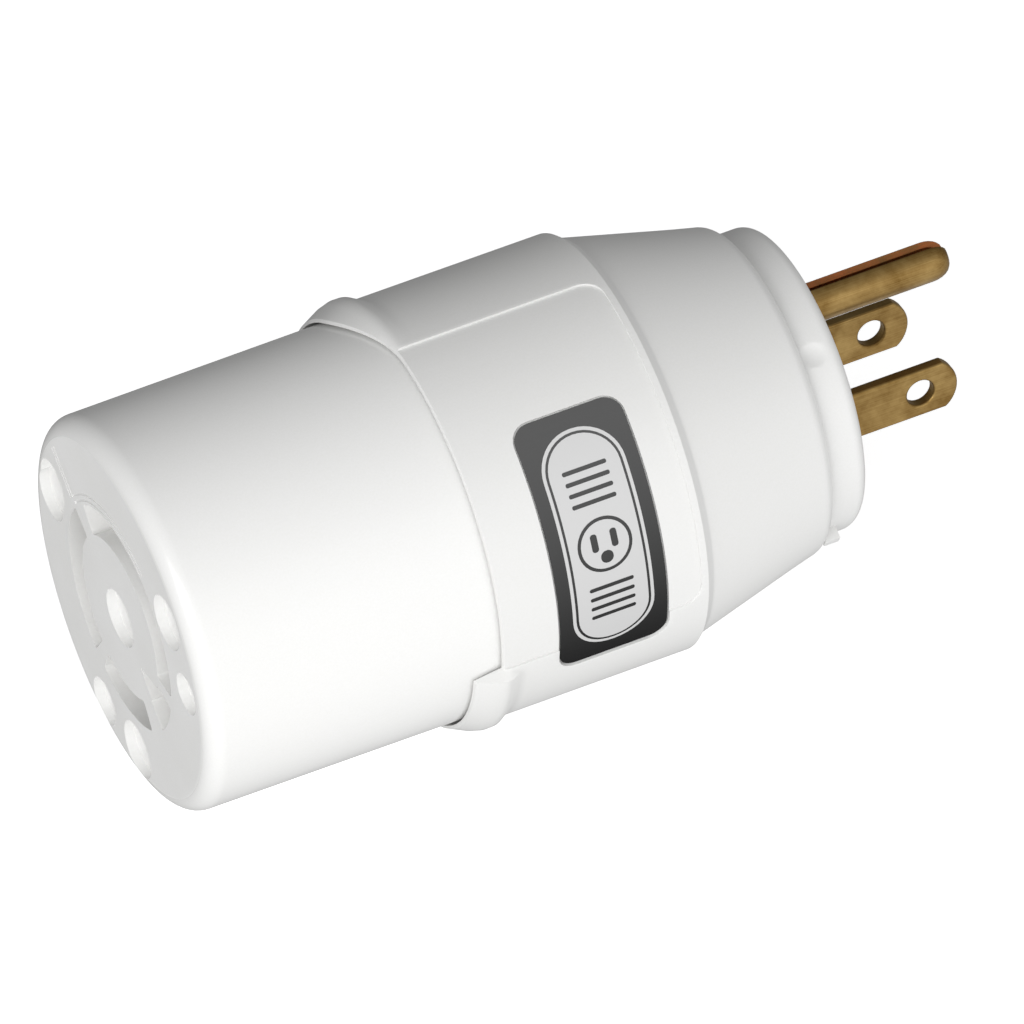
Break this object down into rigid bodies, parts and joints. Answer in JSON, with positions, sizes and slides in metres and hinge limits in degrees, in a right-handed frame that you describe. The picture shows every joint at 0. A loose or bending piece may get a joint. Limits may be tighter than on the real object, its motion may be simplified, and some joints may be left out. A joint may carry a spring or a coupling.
{
  "type": "power plug adapter",
  "caption": "Barrel-shaped electrical adapter with a locking receptacle face at one end and two straight blades and a ground pin at the other.",
  "frame": {"origin": "centre of the flat plug face, on the body axis, between the blades and the ground pin", "axes": "+X along the body axis, the way the blades point; +Z from the body axis to the ground pin; +Y to the neutral blade"},
  "size_m": [0.103, 0.0492, 0.0496],
  "materials": {
    "white_nylon": "glossy injection-moulded white nylon",
    "label_print": "dark grey print",
    "grey_phenolic": "moulded insulating resin",
    "brass": "stamped brass, slightly tarnished",
    "tinned_copper": "tin-plated",
    "zinc_plated_steel": "zinc-plated",
    "lead_black": "extruded vinyl insulation",
    "lead_white": "extruded vinyl insulation",
    "lead_green": "extruded vinyl insulation"
  },
  "bodies": {
    "root": {"receptacle_body": "white_nylon", "rear_shell": "white_nylon", "plug_nose": "white_nylon", "label_plate": "label_print", "contact_carrier": "grey_phenolic", "carrier_cover": "grey_phenolic", "blade_retainer": "grey_phenolic", "line_contact": "brass", "neutral_contact": "brass", "ground_contact": "brass", "line_blade": "brass", "neutral_blade": "brass", "ground_pin": "brass", "line_terminal": "tinned_copper", "neutral_terminal": "tinned_copper", "ground_terminal": "tinned_copper", "line_terminal_screw": "zinc_plated_steel", "neutral_terminal_screw": "zinc_plated_steel", "ground_terminal_screw": "zinc_plated_steel", "cover_screw_1": "zinc_plated_steel", "cover_screw_2": "zinc_plated_steel", "retainer_screw_1": "zinc_plated_steel", "retainer_screw_2": "zinc_plated_steel", "line_lead": "lead_black", "neutral_lead": "lead_white", "ground_lead": "lead_green"}
  },
  "joints": []
}
